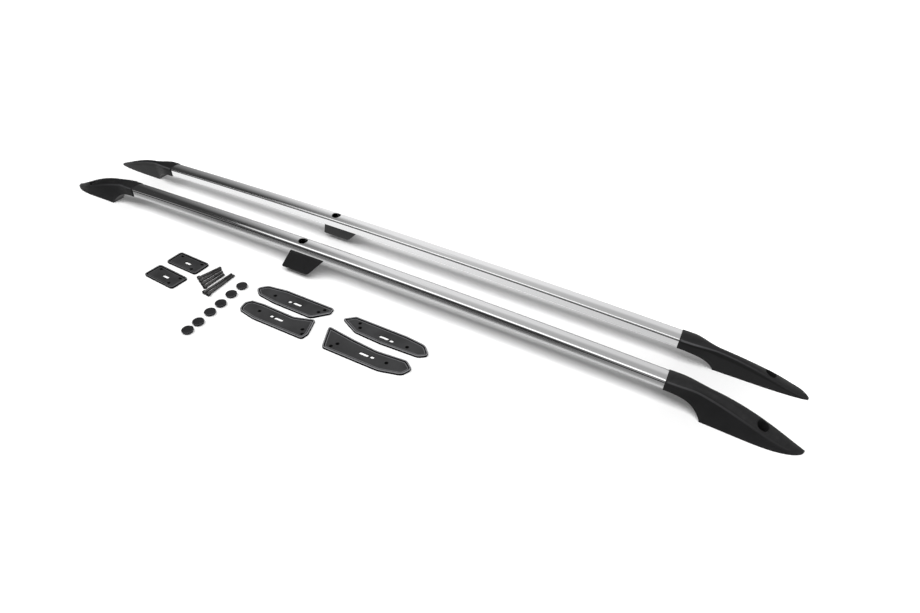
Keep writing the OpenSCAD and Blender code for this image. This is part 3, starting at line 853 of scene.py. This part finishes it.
def draw_lines_group():
    """Lengthwise drawing lines of an extrusion: noise stretched along X, as a height and a tone."""
    group, given, out = node_group("drawing_lines", {"Lines": 900.0}, ["Height", "Tone"])
    where = add(group, "Mapping", Scale=(0.004, 1.0, 1.0), Vector=given["Vector"]).outputs[0]
    fine = add(group, "TexNoise", Detail=4.0, Roughness=0.65, Vector=where, Scale=given["Lines"])
    broad = add(group, "TexNoise", Scale=60.0, Detail=3.0, Roughness=0.5, Vector=where)
    feed(group, out, Height=fine.outputs["Fac"], Tone=broad.outputs["Fac"])
    return group


def shared(tree, name, make, where, **inputs):
    """What a shared group gives in a material; the group is built on its first use."""
    group = bpy.data.node_groups.get(name) or make()
    return add(tree, "Group", node_tree=group, Vector=where, **inputs).outputs


def new_material(name):
    """Empty node material with its tree, its shader and the Object coordinates."""
    material = bpy.data.materials.new(name)
    material.use_nodes = True
    tree = material.node_tree
    return material, tree, tree.nodes["Principled BSDF"], add(tree, "TexCoord").outputs["Object"]


def marked(tree, colour, dark, light=None):
    """Colour that turns dark where the attribute mark goes to -1 and light where it goes to 1, and the mark."""
    mark = add(tree, "Attribute", attribute_name="mark").outputs["Fac"]
    if light is not None:
        colour = mix(tree, span(tree, mark, 0.0, 1.0), colour, light)
    return mix(tree, span(tree, mark, 1.0, 0.0, -1.0, 0.0), colour, dark), mark


def shade(colour, factor):
    """The colour times a factor, as RGBA."""
    return tuple(c * factor for c in colour[:3]) + (1.0,)


def aluminium(looks):
    """Satin anodised aluminium with fine lines along the rail, a painted brightening on the far rail and painted shade
    on the grooves' floors.
    """
    material, tree, shader, where = new_material("satin_aluminium")
    lines = shared(tree, "drawing_lines", draw_lines_group, where, Lines=looks.line_count)
    tone = span(tree, lines["Tone"], 0.0, 1.0, *NOISE_SPAN)
    plain = mix(tree, tone, shade(looks.colour, 0.96), shade(looks.colour, 1.0))
    # Painted light: the far rail, past y 0.12 to 0.17, takes this brighter colour
    bright = mix(tree, tone, shade(looks.colour, 1.08), shade(looks.colour, 1.12))
    far_rail_painted_lighter = mix(tree, ramp(tree, where, 1, 0.0, 1.0, 0.12, 0.17), plain, bright)
    # Painted shade on the grooves' floors, where the mark is -1
    colour, _ = marked(tree, far_rail_painted_lighter, GROOVE_PAINTED_SHADE)
    roughness = span(tree, lines["Height"], looks.roughness * 0.85, looks.roughness * 1.15, *NOISE_SPAN)
    normal = bump(tree, lines["Height"], 0.04, 0.00005)
    feed(tree, shader, Metallic=1.0, Base_Color=colour, Roughness=roughness, Normal=normal)
    return material


def moulded_plastic(name, colour, roughness, size, depth, dust):
    """Black moulded plastic: fine grain, slow variation of tone, a trace of dust on top, painted highlights where the
    mark is 1 and painted shade where it is -1.
    """
    material, tree, shader, where = new_material(name)
    grain = shared(tree, "moulded_grain", speckle_group, where, Size=size)
    powder = shared(tree, "settled_dust", dust_group, where, Amount=dust)
    tone = span(tree, grain["Tone"], 0.0, 1.0, *NOISE_SPAN)
    plain = mix(tree, tone, shade(colour, 0.85), shade(colour, 1.15))
    dusty = mix(tree, powder["Mask"], plain, DUST)
    # Painted shade where the mark goes to -1, painted highlights where it goes to 1
    painted_light_and_shade, _ = marked(tree, dusty, shade(colour, 0.2), shade(colour, 7.0))
    rough = span(tree, grain["Tone"], roughness - 0.05, roughness + 0.06, *NOISE_SPAN)
    normal = bump(tree, grain["Height"], depth, 0.0002)
    feed(tree, shader, Specular_IOR_Level=0.17, Base_Color=painted_light_and_shade, Roughness=rough, Normal=normal)
    return material


def rubber(looks):
    """Moulded rubber with painted highlights on the rims, and painted shade, less glossy too, on their flanks, in the
    grooves and in the peg holes.
    """
    material, tree, shader, where = new_material("pad_rubber")
    colour = looks.rubber_colour
    grain = shared(tree, "moulded_grain", speckle_group, where, Size=900.0)
    tone = span(tree, grain["Tone"], 0.0, 1.0, *NOISE_SPAN)
    plain = mix(tree, tone, shade(colour, 0.6), shade(colour, 1.5))
    # Painted shade where the mark goes to -1, painted highlights where it goes to 1
    painted_light_and_shade, mark = marked(tree, plain, shade(colour, 0.1), shade(colour, 6.5))
    gloss = span(tree, mark, 0.03, 0.3, -1.0, 0.0)
    rough = span(tree, grain["Tone"], 0.62, 0.78, *NOISE_SPAN)
    normal = bump(tree, grain["Height"], 0.3, 0.0002)
    feed(tree, shader, Base_Color=painted_light_and_shade, Specular_IOR_Level=gloss, Roughness=rough, Normal=normal)
    return material


def black_steel(looks):
    """Black oxide on steel, slightly oiled, with a brownish cast in patches."""
    material, tree, shader, where = new_material("black_oxide_steel")
    grain = shared(tree, "moulded_grain", speckle_group, where, Size=2500.0, Patch=180.0)
    tone = span(tree, grain["Tone"], 0.0, 1.0, 0.35, 0.65)
    warm = (*(c * k for c, k in zip(looks.screw_colour, (1.14, 1.1, 1.06))), 1.0)
    colour = mix(tree, tone, shade(looks.screw_colour, 1.0), warm)
    rough = span(tree, grain["Tone"], 0.2, 0.32, *NOISE_SPAN)
    normal = bump(tree, grain["Height"], 0.15, 0.0001)
    feed(tree, shader, Metallic=0.7, Base_Color=colour, Roughness=rough, Normal=normal)
    return material


# Sizes and colours that a user may change


def tint(name, description, default):
    """Colour that a user may change."""
    return bpy.props.FloatVectorProperty(
        name=name, description=description, default=default, subtype="COLOR", size=3, min=0, max=1
    )


def distance(name, description, default, least, most):
    """Length that a user may change."""
    return bpy.props.FloatProperty(
        name=name, description=description, default=default, min=least, max=most, unit="LENGTH"
    )


def amount(name, description, default, least=0, **others):
    """Number that a user may change."""
    return bpy.props.FloatProperty(name=name, description=description, default=default, min=least, **others)


class SideRailLooks(bpy.types.PropertyGroup):
    """Finish of the aluminium rails."""

    colour: tint("Aluminium", "Base colour of the rails", (0.74, 0.74, 0.745))
    roughness: amount("Roughness", "Roughness of the satin finish", 0.14, 0.05, max=0.6)
    line_count: amount("Drawing lines", "Fineness of the lengthwise lines", 900.0, 100.0)
    edge: distance("Edge", "Rounding of the rail's creases", 1.2 * MM, 0.2 * MM, 3 * MM)


class SideRailFeetLooks(bpy.types.PropertyGroup):
    """Shape details and finish of the moulded feet and caps."""

    colour: tint("Plastic", "Base colour of the feet", (0.011, 0.011, 0.0115))
    cap_colour: tint("Cap plastic", "Base colour of the caps", (0.016, 0.016, 0.017))
    ridge: distance("Ridge", "Height over which a foot's ridge is rounded", 2.5 * MM, 0.5 * MM, 6 * MM)
    hollow: distance("Hollow walls", "How far the foot's outer wall draws in", 1.6 * MM, 0, 4 * MM)


class SideRailKitLooks(bpy.types.PropertyGroup):
    """Colours of the pads and screws, and the screws' thread."""

    rubber_colour: tint("Rubber", "Base colour of the pads", (0.026, 0.026, 0.027))
    screw_colour: tint("Screws", "Base colour of the screws", (0.085, 0.085, 0.087))
    thread_pitch: distance("Thread pitch", "Pitch of the screws' thread", 1.0 * MM, 0.5 * MM, 2 * MM)


class SideRailStageLooks(bpy.types.PropertyGroup):
    """Floor, lamp and what the rails reflect."""

    floor_colour: tint("Floor", "Colour of the floor", (0.86, 0.86, 0.86))
    lamp_power: amount("Lamp", "Power of the main lamp", 39.0, unit="POWER")
    lamp_back: distance("Lamp setback", "How far the lamp hangs behind the middle", -0.42, -10, 10)
    floor_lift: amount("Floor lift", "Extra white that the camera sees on the floor", 0.06)
    studio_diffuse: amount("Fill", "Light from all round", 0.17)
    studio_glossy: amount("Studio walls", "Brightness of the walls in reflections", 0.97)
    strip_glow: amount("Strip", "Brightness of the strip in reflections", 1.8)
    flag_left: amount("Floor left", "Brightness of the left floor in reflections", 0.3)
    flag_middle: amount("Floor middle", "Brightness of the front floor in reflections", 0.12)
    flag_right: amount("Floor right", "Brightness added on the right in reflections", 0.26)
    flag_line: amount("Floor line", "Brightness of the line before the rail in reflections", 0.85)
    flag_under: amount("Floor under", "Brightness of the floor behind in reflections", 1.08)


# One operator for each piece or group of like pieces


class SIDERAIL_OT_rails(bpy.types.Operator):
    """Builds both bowed rails with their cap holes"""

    bl_idname = "siderail.rails"
    bl_label = "Rails"

    def execute(self, context):
        looks = context.scene.side_rail_looks
        metal = aluminium(looks)
        parts, marks = rail_parts(looks.edge)
        for name, place in (("near_rail", near_side), ("far_rail", far_side)):
            there = [moved(p, place) for p in parts]
            make_piece("bar_" + name, there, metal, [name], sharp=60, marks=marks)
        return {"FINISHED"}


class SIDERAIL_OT_end_feet(bpy.types.Operator):
    """Builds the four blade-shaped end feet"""

    bl_idname = "siderail.end_feet"
    bl_label = "End feet"

    def execute(self, context):
        looks = context.scene.side_rail_feet_looks
        plastic = moulded_plastic("foot_plastic", looks.colour, 0.5, 1400.0, 0.35, 0.02)
        for end, sizes in FEET.items():
            parts, marks = foot_parts(**sizes, edge=looks.ridge, hollow=looks.hollow)
            sign = 1 if end == "right" else -1
            for side, place in (("near", near_side), ("far", far_side)):
                node = f"{side}_{end}_foot"
                there = [moved(p, lambda v: place(v * [sign, 1, 1] + [sign * RAIL_LEN / 2, 0, 0])) for p in parts]
                make_piece("moulded_" + node, there, plastic, [node], sharp=50, marks=marks)
        return {"FINISHED"}


class SIDERAIL_OT_centre_feet(bpy.types.Operator):
    """Builds the two flared centre feet"""

    bl_idname = "siderail.centre_feet"
    bl_label = "Centre feet"

    def execute(self, context):
        plastic = bpy.data.materials["foot_plastic"]
        parts = centre_parts(1.0 * MM)
        for side, place in (("near", near_side), ("far", far_side)):
            node = f"{side}_centre_foot"
            make_piece("moulded_" + node, [moved(p, place) for p in parts], plastic, [node])
        return {"FINISHED"}


class SIDERAIL_OT_pads(bpy.types.Operator):
    """Builds the rimmed rubber pads for the end feet and the centre feet"""

    bl_idname = "siderail.pads"
    bl_label = "Pads"

    def execute(self, context):
        material = rubber(context.scene.side_rail_kit_looks)
        for node, (x, y, sx, sy, at) in PAD_PLACES.items():
            holes = [oblong(at * MM, -27 * MM, 10 * MM, SLOT_W), oblong((at + 19.5) * MM, -26 * MM, 23 * MM, SLOT_W)]
            pegs = [circle(24, PEG_HOLE_R, a * MM, b * MM) for a, b in FOOT_PAD_PEGS]
            parts, marks = plate_parts(rounded(PAD_OUTLINES[node]), holes, pegs)
            place = np.array([x * MM, y * MM, 0])
            turned = [moved(p, lambda v: near_side(v * [sx, sy, 1] + place)) for p in parts]
            make_piece("rubber_" + node, turned, material, [node], marks=marks)
        length, width, radius, slot = CENTRE_PAD_SIZE
        box = [(a * length / 2, b * width / 2, radius) for a, b in BOX_CORNERS]
        pegs = [circle(24, PEG_HOLE_R, a * length * MM, b * width * MM) for a, b in CENTRE_PAD_PEGS]
        parts, marks = plate_parts(rounded(box), [oblong(0, 0, slot * MM, SLOT_W)], pegs)
        # Weaker painted highlights on the centre pads' rims
        marks = [np.where(m > 0, 0.35 * m, m) for m in marks]
        for node, (x, y, turn) in CENTRE_PADS.items():
            spin = np.array(Matrix.Rotation(math.radians(turn), 3, "Z"))
            place = np.array([x * MM, y * MM, 0])
            turned = [moved(p, lambda v: near_side(v @ spin.T + place)) for p in parts]
            make_piece("rubber_" + node, turned, material, [node], marks=marks)
        return {"FINISHED"}


class SIDERAIL_OT_caps(bpy.types.Operator):
    """Builds the six round caps"""

    bl_idname = "siderail.caps"
    bl_label = "Caps"

    def execute(self, context):
        looks = context.scene.side_rail_feet_looks
        plastic = moulded_plastic("cap_plastic", looks.cap_colour, 0.38, 1800.0, 0.15, 0.0)
        ball = (CAP_R**2 + CAP_DOME**2) / (2 * CAP_DOME)
        top = np.linspace(0, CAP_R - 0.8 * MM, 14)
        profile = [(r, PLUG_H + 2.5 * MM - ball + math.sqrt(ball * ball - r * r)) for r in top]
        profile += [(r * MM, z * MM) for r, z in CAP_RIM]
        for i, (x, y) in enumerate(CAP_PLACES):
            points, faces = lathe(profile, 96)
            r, z = np.hypot(*points[:, :2].T), points[:, 2]
            # Eight scallops, sunken, with painted shade in them and painted highlights on the ribs between them; the
            # rim's edge has a painted highlight too
            slit = np.cos(8 * np.arctan2(points[:, 1], points[:, 0])) > 0.5
            plug = (z < PLUG_H * 0.9) & (r > 10.4 * MM)
            points[plug & slit, :2] *= 0.93
            mark = np.where((r > 12 * MM) & (z > 6 * MM), 0.5, 0.0) + np.where(plug, np.where(slit, -1.0, 0.8), 0.0)
            points += [FRAME_X + x * MM, NEAR_Y + y * MM, 0]
            make_piece(f"round_cap_{i + 1}", [(points, faces)], plastic, [f"cap_{i + 1}"], marks=[mark])
        return {"FINISHED"}


class SIDERAIL_OT_screws(bpy.types.Operator):
    """Builds the four short and two long mounting screws"""

    bl_idname = "siderail.screws"
    bl_label = "Screws"

    def execute(self, context):
        looks = context.scene.side_rail_kit_looks
        steel = black_steel(looks)
        short = screw_parts(SHORT_LEN, looks.thread_pitch)
        parts = [
            moved(short, lay_down(SHORT_LEN, t, SCREWS_X + SCREW_GAP * i, SCREWS_Y - 6 * MM * i))
            for i, t in enumerate(SHORT_TURNS)
        ]
        make_piece("socket_screws_short", parts, steel, ["short_screws"])
        long = screw_parts(LONG_LEN, looks.thread_pitch)
        parts = [
            moved(long, lay_down(LONG_LEN, t, SCREWS_X + SCREW_GAP * (4 + i) + 2 * MM, SCREWS_Y - (33 + i) * MM))
            for i, t in enumerate(LONG_TURNS)
        ]
        make_piece("socket_screws_long", parts, steel, ["long_screws"])
        for node in ("rail_end_screws", "centre_foot_screws"):
            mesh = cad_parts[node].data
            mesh.materials.clear()
            mesh.materials.append(steel)
        return {"FINISHED"}


def sheet(name, corners, material):
    """Object of one quad with its material."""
    mesh = bpy.data.meshes.new(name)
    mesh.from_pydata(corners, [], [(0, 1, 2, 3)])
    mesh.materials.append(material)
    thing = bpy.data.objects.new(name, mesh)
    bpy.context.scene.collection.objects.link(thing)
    return thing


def card(name, corners, glow, fades=()):
    """Glowing or dark flag that only reflections see; with fades, its glow is the largest of their ramps."""
    material, tree, shader, where = new_material(name)
    for i, fade in enumerate(fades):
        part = ramp(tree, where, *fade)
        glow = combine(tree, "MAXIMUM", glow, part) if i else part
    feed(tree, shader, Base_Color=BLACK, Specular_IOR_Level=0.0, Emission_Color=WHITE, Emission_Strength=glow)
    flag = sheet(name, corners, material)
    flag.visible_camera = flag.visible_diffuse = flag.visible_shadow = False
    flag.visible_transmission = flag.visible_volume_scatter = False


def floor_glow(tree, where, looks):
    """What reflections see of the floor: bands along x, a bright line that follows the near rail, pale behind it."""
    split = add(tree, "SeparateXYZ", Vector=where)
    x, y = split.outputs[0], split.outputs[1]
    bowed_x = combine(tree, "MULTIPLY_ADD", x, 0.943, 0.038)
    drop = combine(tree, "MULTIPLY", combine(tree, "MULTIPLY", bowed_x, bowed_x), -0.0243)
    below = combine(tree, "ADD", y, drop)
    left = step(tree, x, looks.flag_left, looks.flag_middle, -0.68, -0.42)
    middle = combine(tree, "MULTIPLY", left, step(tree, x, 1.0, 0.6, 0.0, 0.25))
    base = combine(tree, "ADD", middle, step(tree, x, 0.0, looks.flag_right, 0.38, 0.72))
    front = combine(tree, "MULTIPLY", base, step(tree, below, 1.0, 1.2, -0.008, 0.0))
    line = mix(tree, step(tree, below, 0.0, 1.0, 0.0, 0.004), front, looks.flag_line, "FLOAT")
    behind = step(tree, x, looks.flag_under, looks.flag_under * 0.68, -0.3, 0.7)
    return mix(tree, step(tree, y, 0.0, 1.0, 0.03, 0.06), line, behind, "FLOAT")


def floor_material(looks):
    """Pale floor, lifted towards white for the camera far out and behind, that gives reflections floor_glow instead."""
    material, tree, shader, where = new_material("floor_white")
    path = add(tree, "LightPath").outputs
    squeezed = add(tree, "Mapping", Location=(0.0, -0.06, 0.0), Scale=(0.5, 1.0, 1.0), Vector=where)
    away = add(tree, "VectorMath", operation="LENGTH")
    put(tree, away.inputs[0], squeezed.outputs[0])
    distant = step(tree, away.outputs["Value"], looks.floor_lift, 1.0, 0.34, 0.74)
    lifted = combine(tree, "ADD", distant, ramp(tree, where, 1, 0.0, 0.3, 0.205, 0.28))
    seen = combine(tree, "MULTIPLY", lifted, path["Is Camera Ray"])
    colour = (*looks.floor_colour, 1)
    feed(tree, shader, Base_Color=colour, Roughness=0.9, Specular_IOR_Level=0.0)
    feed(tree, shader, Emission_Color=WHITE, Emission_Strength=seen)
    mirrored = add(tree, "Emission", Strength=floor_glow(tree, where, looks))
    choose = add(tree, "MixShader")
    for socket, value in zip(choose.inputs, (path["Is Glossy Ray"], shader.outputs[0], mirrored.outputs[0])):
        put(tree, socket, value)
    feed(tree, tree.nodes["Material Output"], Surface=choose.outputs[0])
    return material


def studio_world(looks):
    """White to the camera, a soft fill, and walls for reflections that darken overhead and to the right."""
    world = bpy.data.worlds.new("studio")
    world.use_nodes = True
    tree = world.node_tree
    path = add(tree, "LightPath").outputs
    direction = add(tree, "TexCoord").outputs["Generated"]
    overhead = ramp(tree, direction, 2, looks.studio_glossy, looks.studio_glossy * 0.62, 0.66, 0.94)
    walls = combine(tree, "MULTIPLY", overhead, ramp(tree, direction, 0, 1.0, 0.84, -0.3, 0.05))
    upper = combine(tree, "MULTIPLY", path["Is Glossy Ray"], walls)
    plain = combine(tree, "MULTIPLY_ADD", path["Is Diffuse Ray"], looks.studio_diffuse, upper)
    strength = combine(tree, "ADD", plain, path["Is Camera Ray"])
    feed(tree, tree.nodes["Background"], Color=WHITE, Strength=strength)
    return world


def photo_camera():
    """Camera of the photograph: yaw about the vertical, pitch below the level, roll about the line of sight."""
    data = bpy.data.cameras.new("camera")
    data.lens = CAMERA_LENS
    data.sensor_width = 36
    camera = bpy.data.objects.new("camera", data)
    yaw, pitch, roll = (math.radians(a) for a in YAW_PITCH_ROLL)
    look = Vector((-math.sin(yaw) * math.cos(pitch), math.cos(yaw) * math.cos(pitch), -math.sin(pitch)))
    level = Vector((math.cos(yaw), math.sin(yaw), 0))
    upright = level.cross(look)
    right = level * math.cos(roll) + upright * math.sin(roll)
    up = upright * math.cos(roll) - level * math.sin(roll)
    turn = Matrix((right, up, -look)).transposed()
    camera.matrix_world = Matrix.Translation(CAMERA_PLACE) @ turn.to_4x4()
    return camera


class SIDERAIL_OT_stage(bpy.types.Operator):
    """Sets the pale floor, the soft lamps, the reflecting cards and the camera"""

    bl_idname = "siderail.stage"
    bl_label = "Stage"

    def execute(self, context):
        scene = context.scene
        looks = scene.side_rail_stage_looks
        scene.view_settings.view_transform = "Standard"
        floor = sheet("floor", [(-40, -40, 0), (40, -40, 0), (40, 40, 0), (-40, 40, 0)], floor_material(looks))
        scene.world = studio_world(looks)

        softbox = bpy.data.lights.new("overhead_softbox", "AREA")
        softbox.shape = "RECTANGLE"
        softbox.size, softbox.size_y = 3.0, 0.95
        softbox.energy = looks.lamp_power
        lamp = bpy.data.objects.new("overhead_softbox", softbox)
        lamp.location = (0.0, looks.lamp_back, CARD_HEIGHT)
        lamp.visible_glossy = False
        scene.collection.objects.link(lamp)

        z = CARD_HEIGHT
        strip = [(-1.35, -0.9, z), (1.7, -0.9, z), (1.7, -0.05, z), (-1.35, -0.05, z)]
        left = [(-1.0, 0.05, 0.03), (-1.0, 1.6, 0.03), (-1.0, 1.6, 3.0), (-1.0, 0.05, 3.0)]
        left_low = [(-1.0, -1.5, 0.03), (-1.0, 0.05, 0.03), (-1.0, 0.05, 0.8), (-1.0, -1.5, 0.8)]
        front = [(-1.7, -1.7, 0.02), (1.7, -1.7, 0.02), (1.7, -1.7, 1.3), (-1.7, -1.7, 1.3)]
        fades = [(1, 0.05, 0.97, 0.26, 1.35, "LINEAR"), (2, 0.05, 0.6, 0.85, 1.9, "LINEAR")]
        card("strip_flag", strip, looks.strip_glow)
        card("left_flag", left, 0.0, fades)
        card("left_low_flag", left_low, 0.05)
        card("front_flag", front, 0.03)

        scene.camera = photo_camera()
        scene.collection.objects.link(scene.camera)
        return {"FINISHED"}


class SIDERAIL_PT_panel(bpy.types.Panel):
    """Lists the finishes and the steps"""

    bl_label = "Side rails"
    bl_space_type = "VIEW_3D"
    bl_region_type = "UI"
    bl_category = "Side rails"

    def draw(self, context):
        for group in GROUPS:
            looks = getattr(context.scene, group)
            box = self.layout.box()
            for name in looks.bl_rna.properties.keys():
                if name not in ("rna_type", "name"):
                    box.prop(looks, name)
        for operator in OPERATORS:
            self.layout.operator(operator.bl_idname)


GROUPS = {
    "side_rail_looks": SideRailLooks,
    "side_rail_feet_looks": SideRailFeetLooks,
    "side_rail_kit_looks": SideRailKitLooks,
    "side_rail_stage_looks": SideRailStageLooks,
}
OPERATORS = (
    SIDERAIL_OT_rails,
    SIDERAIL_OT_end_feet,
    SIDERAIL_OT_centre_feet,
    SIDERAIL_OT_pads,
    SIDERAIL_OT_caps,
    SIDERAIL_OT_screws,
    SIDERAIL_OT_stage,
)


def register():
    for cls in (*GROUPS.values(), *OPERATORS, SIDERAIL_PT_panel):
        bpy.utils.register_class(cls)
    for name, cls in GROUPS.items():
        setattr(bpy.types.Scene, name, bpy.props.PointerProperty(type=cls))


def unregister():
    for name in GROUPS:
        delattr(bpy.types.Scene, name)
    for cls in reversed((*GROUPS.values(), *OPERATORS, SIDERAIL_PT_panel)):
        bpy.utils.unregister_class(cls)


def main():
    """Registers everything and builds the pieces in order."""
    register()
    for operator in OPERATORS:
        family, name = operator.bl_idname.split(".")
        getattr(getattr(bpy.ops, family), name)()


if __name__ == "__main__":
    main()
